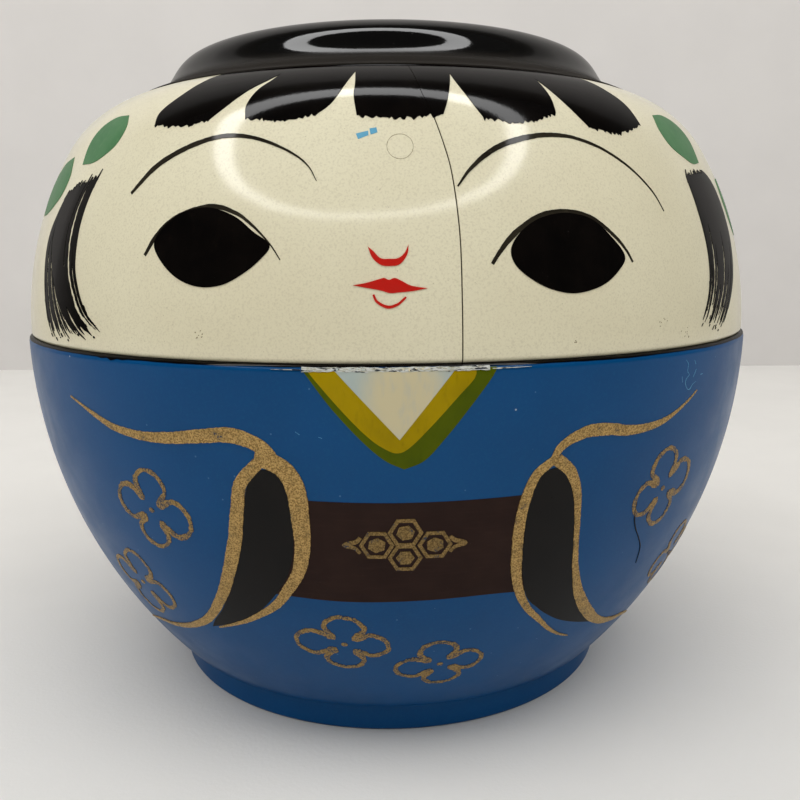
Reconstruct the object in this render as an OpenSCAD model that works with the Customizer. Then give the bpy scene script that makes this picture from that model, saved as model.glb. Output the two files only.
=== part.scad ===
// Round lidded box in the shape of a kimono doll: a turned bowl and a turned lid that meet at the
// doll's neck, with a crown on the lid, a foot under the bowl and a collar that keeps the lid in place.
// Every piece is turned about the Z axis. The origin is the centre of the foot's underside.

/* [Overall] */
// Radius of the bowl's rim, the widest part of the box
rim_radius = 82.5; // [80:0.5:86]
// Height of the bowl's rim, where bowl and lid part
rim_height = 80; // [78:0.5:84]
// Wall thickness of the bowl and the lid
wall = 5.5; // [5:0.25:6.5]
// Width of the bevel on the two meeting edges and on the foot
edge_bevel = 0.8; // [0.6:0.1:1.2]

/* [Bowl] */
// Radius of the arc that the bowl's side follows, in section
bowl_arc = 110; // [106:1:116]
// Thickness of the bowl's floor
bowl_floor = 6; // [5:0.5:8]
// Radius of the round between the bowl's floor and its side
bowl_corner = 14; // [10:1:18]

/* [Foot] */
// Height of the foot under the bowl
foot_height = 6.6; // [5:0.2:8]
// How far the foot stands in from the bowl's lower edge
foot_set_in = 2; // [1:0.2:3]
// Width of the foot, from its outside to its inside
foot_width = 6.5; // [6:0.5:9]

/* [Collar] */
// Thickness of the collar
collar_thick = 2.2; // [1.8:0.1:2.4]
// Depth of the collar in the bowl
collar_depth = 10; // [8:0.5:12]
// Height of the collar above the bowl's rim
collar_rise = 6; // [4:0.5:7]
// Gap between the collar and the lid all round
collar_gap = 0.3; // [0.2:0.05:0.5]

/* [Lid] */
// How far the lid's side stands in from the bowl's rim
lid_set_in = 0.6; // [0.3:0.1:1]
// Height of the lid without its crown
lid_height = 48.5; // [46:0.5:50]
// Radius of the arc that the lid's cheek follows
cheek_arc = 75; // [72:1:80]
// Angle above the rim at which the cheek turns into the shoulder
cheek_angle = 30; // [27:1:32]
// Radius of the arc that the lid's shoulder follows
shoulder_arc = 24.5; // [24:0.5:27]
// Thickness of the lid's top
lid_top = 6.5; // [5.5:0.5:8]
// Radius of the round inside the lid, between its side and its top
lid_corner = 18; // [14:1:19]

/* [Crown] */
// Height of the crown above the lid
crown_height = 12.2; // [11.5:0.1:13.5]
// Radius at which the crown's hollow foot turns into its round side
crown_turn_radius = 51.3; // [50.5:0.1:52]
// Height of that turn above the lid
crown_turn_height = 3.5; // [3:0.1:4]
// Lean of the crown's side at the turn, from upright
crown_turn_lean = 43; // [38:1:48]
// Lean of the crown's foot where it meets the lid, from upright
crown_foot_lean = 60; // [54:1:66]
// Length of the pulls at the two ends of the hollow foot's curve
crown_foot_pull = 2.6; // [2:0.1:3.2]
// Length of the pull on the round side's curve at the turn
crown_side_pull = 5.6; // [5:0.1:6.5]
// Length of the pull on the round side's curve at the top
crown_top_pull = 17; // [15:0.5:18]
// Radius at which the crown's side turns into its flat top
crown_top_radius = 32.3; // [31:0.1:34]
// Width of the flat on top, on which the lid stands as a dish when it is turned over
crown_flat = 4.8; // [4:0.1:6]
// Depth of the recess in the top
crown_recess = 3; // [2:0.5:4]
// Radius of the round between the recess and its floor
crown_recess_corner = 1.5; // [1:0.1:1.8]
// Height of the crown's edge where it sits on the lid
crown_edge = 0.3; // [0.2:0.1:0.6]

/* [Hidden] */
$fn = 240;
blue = "#1f5a8f";
black = "#14120f";
cream = "#ded8bb";
tiny = 0.01;
far = 2 * rim_radius;
// Where one arc runs on into another, the second starts this much nearer the axis, so that the edge
// between them is a clean circle.
arc_step = 0.01;

// Tenons: raised rings and discs by which the glued pieces sit in each other.
tenon_height = 2;
foot_tenon_in = 1.2;      // how far the foot's tenon stands in from each side of the foot
crown_tenon_radius = 40;
crown_tenon_height = 1.5;

// Centres of the arcs in the section, as [radius, height].
bowl_centre = [rim_radius - bowl_arc, rim_height];
lid_radius = rim_radius - lid_set_in;
cheek_centre = [lid_radius - cheek_arc, rim_height];
shoulder_centre = cheek_centre - [arc_step, 0]
    + (cheek_arc - shoulder_arc) * [cos(cheek_angle), sin(cheek_angle)];
cheek_top = cheek_centre[1] + cheek_arc * sin(cheek_angle);
lid_top_height = rim_height + lid_height;

// Radius of a circle of radius r about centre c, at height z.
function radius_at(c, r, z) = c[0] + sqrt(pow(r, 2) - pow(z - c[1], 2));

foot_outer = radius_at(bowl_centre, bowl_arc, foot_height) - foot_set_in;
foot_inner = foot_outer - foot_width;
inner_rim = rim_radius - wall;
collar_outer = inner_rim + collar_thick;
lid_seat_radius = collar_outer + collar_gap;
seam_radius = radius_at(shoulder_centre, shoulder_arc, lid_top_height) - 0.3;

// The space inside a turned shell, in section: the shell's inner side is an arc of radius r about c,
// from the mouth to the level z, and is rounded by corner where it meets z. The level z is above c if
// side is 1, and below it if side is -1.
module hollow_section(c, r, corner, z, side, mouth) {
    corner_z = z - side * corner;
    corner_x = c[0] + sqrt(pow(r - corner, 2) - pow(corner_z - c[1], 2)) - arc_step;
    touch = c[1] + r / (r - corner) * (corner_z - c[1]);
    intersection() {
        translate(c) circle(r);
        translate([0, min(mouth, touch)]) square([far, abs(mouth - touch)]);
    }
    intersection() {
        translate([corner_x, corner_z]) circle(corner);
        translate([corner_x, min(z, touch)]) square([far, abs(touch - z)]);
    }
    translate([0, min(z, touch)]) square([corner_x, abs(touch - z)]);
}

// What cuts the bevel off an outer corner that lies at the point p of a section.
module bevel_cut(p) {
    translate(p) rotate(45) square(edge_bevel * sqrt(2), center = true);
}

module ring(outer, inner, height) {
    difference() {
        cylinder(h = height, r = outer);
        translate([0, 0, -tiny]) cylinder(h = height + 2 * tiny, r = inner);
    }
}

module foot_section() {
    difference() {
        translate([foot_inner, 0]) square([foot_width, foot_height]);
        bevel_cut([foot_outer, 0]);
    }
    translate([foot_inner + foot_tenon_in, foot_height - tiny])
        square([foot_width - 2 * foot_tenon_in, tenon_height + tiny]);
}

module foot_ring() {
    color(blue) rotate_extrude() foot_section();
}

module bowl_section() {
    difference() {
        intersection() {
            translate(bowl_centre) circle(bowl_arc);
            translate([0, foot_height]) square([far, rim_height - foot_height]);
        }
        hollow_section(bowl_centre, bowl_arc - wall, bowl_corner, foot_height + bowl_floor, -1,
            rim_height + tiny);
        bevel_cut([rim_radius, rim_height]);
    }
}

module bowl() {
    color(blue) difference() {
        rotate_extrude() bowl_section();
        // seat of the collar
        translate([0, 0, rim_height - collar_depth]) cylinder(h = collar_depth + tiny, r = collar_outer);
        // groove for the foot's tenon
        translate([0, 0, foot_height - tiny])
            ring(foot_outer - foot_tenon_in, foot_inner + foot_tenon_in, tenon_height + tiny);
    }
}

module collar_ring() {
    color(black) translate([0, 0, rim_height - collar_depth])
        ring(collar_outer, inner_rim, collar_depth + collar_rise);
}

module lid_section() {
    difference() {
        union() {
            intersection() {
                translate(cheek_centre) circle(cheek_arc);
                translate([0, rim_height]) square([far, cheek_top - rim_height]);
            }
            intersection() {
                translate(shoulder_centre) circle(shoulder_arc);
                translate([0, cheek_top]) square([far, lid_top_height - cheek_top]);
            }
            translate([0, rim_height]) square([shoulder_centre[0], lid_height]);
        }
        hollow_section(cheek_centre, cheek_arc - wall, lid_corner, lid_top_height - lid_top, 1,
            rim_height - tiny);
        bevel_cut([lid_radius, rim_height]);
    }
}

module lid() {
    color(cream) difference() {
        rotate_extrude() lid_section();
        // seat that slips over the collar
        translate([0, 0, rim_height - tiny]) cylinder(h = collar_rise + 1 + tiny, r = lid_seat_radius);
        // socket for the crown's tenon
        translate([0, 0, lid_top_height - crown_tenon_height])
            cylinder(h = crown_tenon_height + tiny, r = crown_tenon_radius);
    }
}

// The crown's outline, from its edge on the lid up to the middle of its recess, as
// [radius, height above the lid]. Its foot and its side are two cubic curves that meet at the turn.
function toward(lean) = [-sin(lean), cos(lean)];
function on_curve(p, t) = pow(1 - t, 3) * p[0] + 3 * pow(1 - t, 2) * t * p[1]
    + 3 * (1 - t) * pow(t, 2) * p[2] + pow(t, 3) * p[3];
crown_start = [seam_radius, crown_edge];
crown_turn = [crown_turn_radius, crown_turn_height];
crown_end = [crown_top_radius, crown_height];
foot_curve = [
    crown_start,
    crown_start + crown_foot_pull * toward(crown_foot_lean),
    crown_turn - crown_foot_pull * toward(crown_turn_lean),
    crown_turn];
side_curve = [
    crown_turn,
    crown_turn + crown_side_pull * toward(crown_turn_lean),
    crown_end + [crown_top_pull, 0],
    crown_end];
foot_steps = 10;
side_steps = 16;
recess_radius = crown_top_radius - crown_flat;
recess_floor = crown_height - crown_recess;
function recess_point(a) = [
    recess_radius - crown_recess_corner * (1 - cos(a)),
    recess_floor + crown_recess_corner * (1 - sin(a))];

module crown() {
    outline = concat(
        [[seam_radius, 0]],
        [for (i = [0:foot_steps]) on_curve(foot_curve, i / foot_steps)],
        [for (i = [1:side_steps]) on_curve(side_curve, i / side_steps)],
        [[recess_radius, crown_height]],
        [for (a = [0:15:90]) recess_point(a)],
        [[0, recess_floor], [0, 0]]);
    color(black) translate([0, 0, lid_top_height]) union() {
        rotate_extrude() polygon(outline);
        translate([0, 0, -crown_tenon_height])
            cylinder(h = crown_tenon_height + tiny, r = crown_tenon_radius);
    }
}

foot_ring();
bowl();
collar_ring();
lid();
crown();
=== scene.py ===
"""The looks of a lidded doll box: turned lacquer shells, brush-painted motifs, a pale floor and soft light.

Lengths in the shape code are millimetres, and a mesh is scaled to metres when it is made. A painted
outline is given on the turned surface that carries it: angle in degrees from the front, counted to the
viewer's right, and millimetres along the surface, up from the lid's rim or down from the bowl's rim.
"""

import math
import random

import bpy
import numpy as np
from mathutils import Matrix, Vector
from mathutils.geometry import delaunay_2d_cdt

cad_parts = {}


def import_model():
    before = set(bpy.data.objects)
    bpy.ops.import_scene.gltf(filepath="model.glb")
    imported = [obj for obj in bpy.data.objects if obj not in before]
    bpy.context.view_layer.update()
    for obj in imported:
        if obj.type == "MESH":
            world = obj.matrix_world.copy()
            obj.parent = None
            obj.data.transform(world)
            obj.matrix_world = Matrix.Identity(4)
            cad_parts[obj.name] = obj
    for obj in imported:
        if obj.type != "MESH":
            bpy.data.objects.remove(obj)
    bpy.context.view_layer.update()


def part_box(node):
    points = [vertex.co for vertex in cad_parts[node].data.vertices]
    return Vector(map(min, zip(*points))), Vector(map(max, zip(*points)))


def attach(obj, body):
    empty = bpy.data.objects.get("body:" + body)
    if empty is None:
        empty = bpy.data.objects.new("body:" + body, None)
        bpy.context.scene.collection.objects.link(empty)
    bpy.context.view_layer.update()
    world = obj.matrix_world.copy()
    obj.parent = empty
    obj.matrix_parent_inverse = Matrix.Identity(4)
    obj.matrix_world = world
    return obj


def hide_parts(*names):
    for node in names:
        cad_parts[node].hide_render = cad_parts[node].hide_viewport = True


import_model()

MM = 0.001
COLUMNS = 300          # columns of a turned shell's mesh
EDGE_STEP = 0.45       # spacing of the points of a painted outline
EMBED = 0.05           # how far a coat of paint reaches into what it lies on
COAT = 0.05            # thickness of one coat of paint
RIM_BAND = 1.8         # how far from a rim the surface is strongly curved
RIM_ROW = 0.16         # spacing of a film's inner rows there
RIM_FIRST = 0.07       # how far inside the film's edge the first of them lies
LINING = 0.15          # how far an inner lacquer reaches to each side of the wood's inner surface
PALE_MIDDLE = (3.5, 0, 75)     # middle of the pale triangle at the neck
PALE_SHAPE = (1, 0, 0.8)       # how much each direction counts in the distance from it
NOISE_ROUGHNESS = 0.55


# ---------------------------------------------------------------- sizes from the CAD nodes

def corner_mm(node, which):
    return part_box(node)[which] / MM


BOWL_R = corner_mm("bowl", 1).x
BOWL_FOOT_Z = corner_mm("bowl", 0).z
SEAM_Z = corner_mm("bowl", 1).z
LID_R = corner_mm("lid", 1).x
LID_TOP_Z = corner_mm("lid", 1).z
CROWN_BASE_R = corner_mm("crown", 1).x
CROWN_TOP_Z = corner_mm("crown", 1).z
FOOT_R = corner_mm("foot_ring", 1).x
COLLAR_R = corner_mm("collar_ring", 1).x
COLLAR_LOW = corner_mm("collar_ring", 0).z
COLLAR_HIGH = corner_mm("collar_ring", 1).z

WALL = 5.5
BOWL_ARC = 110.0
BOWL_FLOOR = 6.0
BOWL_CORNER = 14.0
BOWL_RIM_ROUND = 1.1
BOWL_FOOT_ROUND = 1.1
CHEEK_ARC = 75.0
CHEEK_TURN = math.radians(30)
SHOULDER_ARC = 24.5
LID_RIM_ROUND = 0.9
LID_ROOF = 6.5
LID_CORNER = 18.0
COLLAR_THICK = 2.2
COLLAR_GAP = 0.3
FOOT_WIDTH = 6.5
CROWN_EDGE = 0.3
CROWN_TURN = (51.3, 3.5)        # radius and height above the lid where its hollow foot meets its round side
CROWN_TURN_LEAN = math.radians(43)
CROWN_FOOT_LEAN = math.radians(60)
CROWN_FOOT_PULL = 2.6
CROWN_SIDE_PULL = 5.6
CROWN_TOP_PULL = 17.0
CROWN_FLAT_OUT = 32.3
CROWN_FLAT = 4.8
CROWN_RECESS = 3.0
CROWN_RECESS_ROUND = 1.5


# ---------------------------------------------------------------- sections of the turned pieces

# Spacing of a section's points.
BOWL_EDGE_STEP = 0.15
SMALL_ROUND_STEP = 0.12
HOLLOW_STEP = 1.5
FLAT_STEP = 6


def arc(centre, radius, start, end, step=0.5):
    """Points on an arc, as (radius from the axis, height), from one angle to another in radians."""
    count = max(3, int(abs(end - start) * radius / step) + 1)
    turn = np.linspace(start, end, count)
    return np.stack([centre[0] + radius * np.cos(turn), centre[1] + radius * np.sin(turn)], 1)


def line(start, end, step=2.5):
    count = max(2, int(math.dist(start, end) / step) + 1)
    return np.linspace(start, end, count)


def joined(*parts):
    """One run of points from several, without the points that repeat."""
    points = np.concatenate([np.asarray(p, float).reshape(-1, 2) for p in parts])
    gaps = np.linalg.norm(np.diff(points, axis=0), axis=1)
    return points[np.concatenate([[True], gaps > 1e-4])]


def round_to_level(centre, radius, small, level, side):
    """The round between an arc and a level line inside it: its centre, and the angle where it starts."""
    z = level - side * small
    r = centre[0] + math.sqrt((radius - small) ** 2 - (z - centre[1]) ** 2)
    return (r, z), math.atan2(z - centre[1], r - centre[0])


BOWL_CENTRE = (BOWL_R - BOWL_ARC, SEAM_Z)
CHEEK_CENTRE = (LID_R - CHEEK_ARC, SEAM_Z)
SHOULDER_CENTRE = (CHEEK_CENTRE[0] + (CHEEK_ARC - SHOULDER_ARC) * math.cos(CHEEK_TURN),
                   CHEEK_CENTRE[1] + (CHEEK_ARC - SHOULDER_ARC) * math.sin(CHEEK_TURN))


def bowl_side():
    """The bowl's outside, from the top of its rounded rim down to its underside."""
    rim, rim_turn = round_to_level(BOWL_CENTRE, BOWL_ARC, BOWL_RIM_ROUND, SEAM_Z, 1)
    low, low_turn = round_to_level(BOWL_CENTRE, BOWL_ARC, BOWL_FOOT_ROUND, BOWL_FOOT_Z, -1)
    return joined(arc(rim, BOWL_RIM_ROUND, math.pi / 2, rim_turn, BOWL_EDGE_STEP),
                  arc(BOWL_CENTRE, BOWL_ARC, rim_turn, low_turn),
                  arc(low, BOWL_FOOT_ROUND, low_turn, -math.pi / 2, BOWL_EDGE_STEP))


def lid_side():
    """The lid's outside, from the bottom of its rounded rim up to the crown."""
    rim, rim_turn = round_to_level(CHEEK_CENTRE, CHEEK_ARC, LID_RIM_ROUND, SEAM_Z, -1)
    top_turn = math.asin((LID_TOP_Z - SHOULDER_CENTRE[1]) / SHOULDER_ARC)
    return joined(arc(rim, LID_RIM_ROUND, -math.pi / 2, rim_turn, SMALL_ROUND_STEP),
                  arc(CHEEK_CENTRE, CHEEK_ARC, rim_turn, CHEEK_TURN),
                  arc(SHOULDER_CENTRE, SHOULDER_ARC, CHEEK_TURN, top_turn, 0.4))


class Skin:
    """A turned surface that carries paint. Its run s is 0 at the rim's edge, were that edge not rounded."""

    def __init__(self, side, up, round_size):
        self.side = side
        self.up = up
        run = np.concatenate([[0], np.cumsum(np.linalg.norm(np.diff(side, axis=0), axis=1))])
        self.s = run - (math.pi / 2 - 1) * round_size
        tangent = np.gradient(side, run, axis=0)
        tangent /= np.linalg.norm(tangent, axis=1)[:, None]
        self.out = np.stack([tangent[:, 1], -tangent[:, 0]], 1) * (1 if up else -1)

    def radius(self, s):
        return np.interp(s, self.s, self.side[:, 0])

    def at(self, outline, lift):
        """Points lift millimetres above the surface, and the surface's normals there."""
        turn = np.radians(outline[:, 0])
        s = outline[:, 1]
        out_r = np.interp(s, self.s, self.out[:, 0])
        out_z = np.interp(s, self.s, self.out[:, 1])
        r = self.radius(s) + out_r * lift
        z = np.interp(s, self.s, self.side[:, 1]) + out_z * lift
        points = np.stack([r * np.sin(turn), -r * np.cos(turn), z], 1)
        normals = np.stack([out_r * np.sin(turn), -out_r * np.cos(turn), out_z], 1)
        return points, normals / np.linalg.norm(normals, axis=1)[:, None]


BOWL_SKIN = Skin(bowl_side(), False, BOWL_RIM_ROUND)
LID_SKIN = Skin(lid_side(), True, LID_RIM_ROUND)
CROWN_SEAM = float(LID_SKIN.s[-1])


# ---------------------------------------------------------------- meshes

def new_piece(mesh, body, paints, slot=None, stands_for=()):
    """A piece with the named paints, attached to its body. A slot is worked out from slot or the first
    paint, but not used.
    """
    piece = bpy.data.objects.new(mesh.name, mesh)
    bpy.context.scene.collection.objects.link(piece)
    for paint in paints:
        mesh.materials.append(MATERIALS[paint])
    slot = slot or paints[0]
    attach(piece, body)
    if stands_for:
        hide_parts(*stands_for)


def turned(name, section, angles=None, shift=None, sharp=32):
    """A closed solid from a section, a run of (radius, height) that closes on itself or ends on the axis.
    angles are the columns' angles in radians. shift(row, angles) may move a row: it gives turns and
    depths."""
    section = np.asarray(section, float)
    angles = np.linspace(0, 2 * math.pi, COLUMNS, endpoint=False) if angles is None else angles
    verts, rows = [], []
    for i, (r, z) in enumerate(section):
        if r < 1e-6:
            rows.append([len(verts)] * len(angles))
            verts.append((0, 0, z))
            continue
        turn, depth = shift(i, angles) if shift else (angles, np.zeros(len(angles)))
        rows.append(list(range(len(verts), len(verts) + len(angles))))
        verts += [((r - d) * math.sin(t), -(r - d) * math.cos(t), z) for t, d in zip(turn, depth)]
    open_run = section[0, 0] < 1e-6 and section[-1, 0] < 1e-6
    pairs = list(zip(rows[:-1], rows[1:])) + ([] if open_run else [(rows[-1], rows[0])])
    faces = []
    for low, high in pairs:
        for j in range(len(angles)):
            k = (j + 1) % len(angles)
            corners = [low[j], low[k], high[k], high[j]]
            corners = [c for n, c in enumerate(corners) if c != corners[n - 1]]
            if len(corners) > 2:
                faces.append(corners)
    mesh = bpy.data.meshes.new(name)
    mesh.from_pydata([Vector(v) * MM for v in verts], [], faces)
    mesh.shade_smooth()
    mesh.set_sharp_from_angle(angle=math.radians(sharp))
    return mesh


def inside(points, outline):
    """Which points lie in a closed outline that may cross itself."""
    x, y = points[:, 0], points[:, 1]
    wind = np.zeros(len(points), int)
    x0, y0 = outline[-1]
    for x1, y1 in outline:
        side = (x1 - x0) * (y - y0) - (x - x0) * (y1 - y0)
        wind += ((y0 <= y) & (y1 > y) & (side > 0)).astype(int)
        wind -= ((y1 <= y) & (y0 > y) & (side < 0)).astype(int)
        x0, y0 = x1, y1
    return wind != 0


def in_region(points, region):
    """Which points lie in a region: a list of (outline, [outlines of its gaps])."""
    found = np.zeros(len(points), bool)
    for outline, gaps in region:
        low, high = outline.min(0), outline.max(0)
        near = np.where(((points >= low) & (points <= high)).all(1) & ~found)[0]
        hit = inside(points[near], outline)
        for gap in gaps:
            hit &= ~inside(points[near], gap)
        found[near[hit]] = True
    return found


def film(name, skin, region, level, grid=1.6):
    """A coat of paint: a closed thin solid over the region, level coats above the surface."""
    mean = float(skin.radius(np.mean(np.concatenate([o for o, _ in region])[:, 1])))
    scale = np.array([math.radians(mean), 1.0])
    outlines = [o for outline, gaps in region for o in (outline, *gaps)]
    points = np.concatenate(outlines) * scale
    edges, first = [], 0
    for o in outlines:
        edges += [(first + i, first + (i + 1) % len(o)) for i in range(len(o))]
        first += len(o)
    low, high = points.min(0), points.max(0)
    xs, ys = np.meshgrid(np.arange(low[0], high[0], grid), np.arange(low[1], high[1], grid))
    xs[1::2] += grid / 2
    inner = np.stack([xs.ravel(), ys.ravel()], 1)
    if low[1] < RIM_BAND:
        rows = np.arange(low[1] + RIM_FIRST, RIM_BAND, RIM_ROW)
        xs, ys = np.meshgrid(np.arange(low[0], high[0], 1.0), rows)
        inner = np.concatenate([inner[inner[:, 1] > RIM_BAND], np.stack([xs.ravel(), ys.ravel()], 1)])
    inner = inner[in_region(inner / scale, region)]
    points = np.concatenate([points, inner])
    flat, _, tris, *_ = delaunay_2d_cdt([Vector(p) for p in points], edges, [], 0, 1e-3)
    flat = np.array([tuple(v) for v in flat]) / scale
    tris = np.array([t for t in tris if len(t) == 3])
    tris = tris[in_region(flat[tris].mean(1), region)]
    used, tris = np.unique(tris, return_inverse=True)
    tris = tris.reshape(-1, 3)
    flat = flat[used]
    a, b, c = (flat[tris[:, i]] for i in range(3))
    area = (b[:, 0] - a[:, 0]) * (c[:, 1] - a[:, 1]) - (b[:, 1] - a[:, 1]) * (c[:, 0] - a[:, 0])
    backward = area < 0 if skin.up else area > 0
    tris[backward] = tris[backward][:, ::-1]
    top, normals = skin.at(flat, level * COAT)
    base, _ = skin.at(flat, -EMBED)
    count = len(flat)
    once = {}
    for t in tris:
        for i in range(3):
            edge = (int(t[i]), int(t[(i + 1) % 3]))
            if (edge[1], edge[0]) in once:
                del once[(edge[1], edge[0])]
            else:
                once[edge] = True
    walls = [(j, i, i + count, j + count) for i, j in once]
    faces = [tuple(int(v) for v in t) for t in tris]
    faces += [tuple(int(v) + count for v in t[::-1]) for t in tris]
    faces += walls
    mesh = bpy.data.meshes.new(name)
    mesh.from_pydata([Vector(v) * MM for v in np.concatenate([top, base])], [], faces)
    mesh.update()
    mesh.shade_smooth()
    loops = np.concatenate([normals[tris.ravel()], -normals[tris[:, ::-1].ravel()]])
    sides = [mesh.polygons[len(tris) * 2 + k].normal for k in range(len(walls)) for _ in range(4)]
    mesh.normals_split_custom_set([Vector(n) for n in loops] + [Vector(n) for n in sides])
    return mesh


# ---------------------------------------------------------------- outlines of brush strokes

def smooth(skin, points, step=EDGE_STEP, closed=False):
    """A curve through the points, as closely spaced points."""
    p = np.asarray(points, float)
    if closed:
        p = np.concatenate([p[-1:], p, p[:2]])
    else:
        p = np.concatenate([[2 * p[0] - p[1]], p, [2 * p[-1] - p[-2]]])
    run = []
    for a, b, c, d in zip(p[:-3], p[1:-2], p[2:-1], p[3:]):
        across = math.radians(c[0] - b[0]) * float(skin.radius((b[1] + c[1]) / 2))
        count = max(2, int(math.hypot(across, c[1] - b[1]) / step))
        for t in np.arange(count) / count:
            run.append(0.5 * (2 * b + (c - a) * t + (2 * a - 5 * b + 4 * c - d) * t * t
                              + (3 * b - 3 * c + d - a) * t ** 3))
    if not closed:
        run.append(p[-2])
    return np.array(run)


def outline(skin, *curves, step=EDGE_STEP):
    """A closed outline from curves that meet in corners."""
    runs = [smooth(skin, c, step) for c in curves]
    points = np.concatenate(runs)
    gaps = np.linalg.norm(np.diff(points, axis=0, append=points[:1]), axis=1)
    return points[gaps > 1e-4]


def wander(length, size, seed, wave=3.0):
    """A gentle unevenness along a stroke: size times a sum of sines with seeded phases."""
    draw = random.Random(seed)
    total = sum(np.sin(length * 2 * math.pi / (wave * k) + draw.uniform(0, 6.28)) for k in (0.45, 1, 2.3))
    return size * total / 3


def stroke(skin, points, widths, seed=1, uneven=0.06, grain=0.0, step=EDGE_STEP):
    """A brush stroke: a ribbon along a curve. Its widths, in mm, are spread evenly over its length."""
    path = smooth(skin, points, step)
    across = np.radians(np.gradient(path[:, 0])) * skin.radius(path[:, 1])
    along = np.gradient(path[:, 1])
    size = np.hypot(across, along)
    length = np.cumsum(size)
    place = np.linspace(0, 1, len(widths))
    width = np.interp(length / length[-1], place, widths)
    per_degree = np.radians(1) * skin.radius(path[:, 1])
    side = np.stack([-along / size / per_degree, across / size], 1)
    draw = random.Random(seed)
    edges = []
    for k, sign in enumerate((1, -1)):
        half = width / 2 * (1 + wander(length, uneven * 2, seed * 7 + k))
        half = half + np.array([draw.uniform(-grain, grain) for _ in half])
        half = np.maximum(half, 0.02)
        edges.append(path + side * half[:, None] * sign)
    return np.concatenate([edges[0], edges[1][::-1]])


def loop(skin, points, width, seed=1, uneven=0.08, grain=0.0):
    """A closed line of paint, of one width or of widths spread evenly along it: its outline and its gap."""
    path = smooth(skin, points, closed=True)
    around = np.concatenate([path[-1:], path, path[:1]])
    across = np.radians(np.gradient(around[:, 0])[1:-1]) * skin.radius(path[:, 1])
    along = np.gradient(around[:, 1])[1:-1]
    size = np.hypot(across, along)
    per_degree = np.radians(1) * skin.radius(path[:, 1])
    side = np.stack([along / size / per_degree, -across / size], 1)
    draw = random.Random(seed)
    length = np.cumsum(size)
    widths = np.atleast_1d(width)
    width = np.interp(length / length[-1], np.linspace(0, 1, len(widths)), widths)
    edges = []
    for k, sign in enumerate((1, -1)):
        half = width / 2 * (1 + wander(length, uneven * 2, seed * 5 + k))
        half = half + np.array([draw.uniform(-grain, grain) for _ in half])
        edges.append(path + side * np.maximum(half, 0.03)[:, None] * sign)
    if np.ptp(edges[0][:, 1]) < np.ptp(edges[1][:, 1]):
        edges.reverse()
    return edges[0], [edges[1]]


def local(skin, centre, points, tilt=0.0):
    """Outline points from millimetres right and up about a centre, turned by tilt degrees."""
    p = np.asarray(points, float)
    c, s = math.cos(math.radians(tilt)), math.sin(math.radians(tilt))
    right = p[:, 0] * c - p[:, 1] * s
    up = p[:, 0] * s + p[:, 1] * c
    run = centre[1] + (up if skin.up else -up)
    return np.stack([centre[0] + np.degrees(right / skin.radius(run)), run], 1)


def oval(skin, centre, long_half, short_half, tilt=0.0, count=12):
    """An oval dab of paint."""
    turn = np.linspace(0, 2 * math.pi, count, endpoint=False)
    points = np.stack([long_half * np.cos(turn), short_half * np.sin(turn)], 1)
    return local(skin, centre, points, tilt)


def ragged(points, size, seed):
    """A run of points with the short uneven ends that bristles leave, drawn along the surface."""
    draw = random.Random(seed)
    rough = points.copy()
    rough[:, 1] += [draw.uniform(-1, 1) * size * draw.choice((0.3, 0.6, 1)) for _ in points]
    return rough


# ---------------------------------------------------------------- materials

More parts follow.
